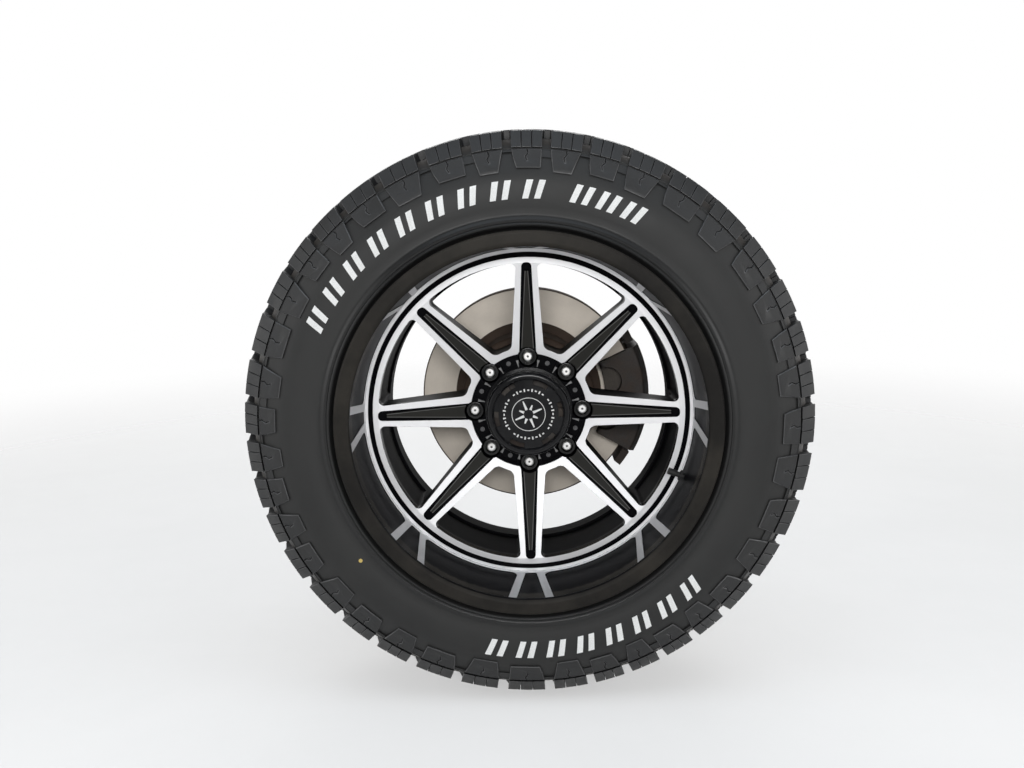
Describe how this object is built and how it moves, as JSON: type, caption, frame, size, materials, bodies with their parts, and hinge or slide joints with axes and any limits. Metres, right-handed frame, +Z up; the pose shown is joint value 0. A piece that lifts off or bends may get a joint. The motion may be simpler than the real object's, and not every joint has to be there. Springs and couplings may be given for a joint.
{
  "type": "off-road wheel end",
  "caption": "Rear wheel end of a lifted 4x4: all-terrain tyre on a deep-lipped eight-spoke alloy wheel, with lug nuts, hub, vented disc brake and a free-turning joint on its axle tube.",
  "frame": {"origin": "centre of the axle tube's cut inboard end, on the axle line", "axes": "+Y inboard along the axle line, towards the vehicle's middle; +Z up; +X towards the vehicle's rear, so the wheel's outboard face looks along -Y"},
  "size_m": [0.8358, 0.721, 0.836],
  "materials": {
    "tyre": "matte",
    "rim_alloy": "gloss",
    "cap_black": "gloss",
    "nut_black": "gloss",
    "stud_steel": "polished",
    "hub_iron": "matte",
    "bearing_steel": "satin",
    "disc_iron": "satin",
    "shaft_steel": "satin",
    "bolt_steel": "satin",
    "valve_rubber": "matte",
    "valve_cap_plastic": "satin",
    "axle_paint": "satin",
    "shield_zinc": "matte",
    "caliper_iron": "matte",
    "pad_lining": "matte",
    "pin_steel": "satin",
    "boot_rubber": "matte",
    "bleed_brass": "satin"
  },
  "bodies": {
    "axle": {"axle_tube": "axle_paint", "brake_flange": "axle_paint", "spring_perch": "axle_paint", "shock_bracket": "axle_paint", "dust_shield": "shield_zinc", "shield_bolts": "bolt_steel", "caliper_bracket": "caliper_iron", "bracket_bolts": "bolt_steel", "caliper_body": "caliper_iron", "brake_pads": "pad_lining", "guide_pins": "pin_steel", "pin_boots": "boot_rubber", "bleed_screw": "bleed_brass"},
    "wheel": {"tyre": "tyre", "rim": "rim_alloy", "centre_cap": "cap_black", "lug_nuts": "nut_black", "wheel_studs": "stud_steel", "hub": "hub_iron", "wheel_bearings": "bearing_steel", "brake_disc": "disc_iron", "axle_shaft": "shaft_steel", "shaft_bolts": "bolt_steel", "valve_stem": "valve_rubber", "valve_cap": "valve_cap_plastic"}
  },
  "joints": [
    {"name": "wheel_spin", "type": "hinge", "parent": "axle", "child": "wheel", "pos_m": [0, -0.45, 0], "axis": [0, 1, 0], "continuous": true}
  ]
}
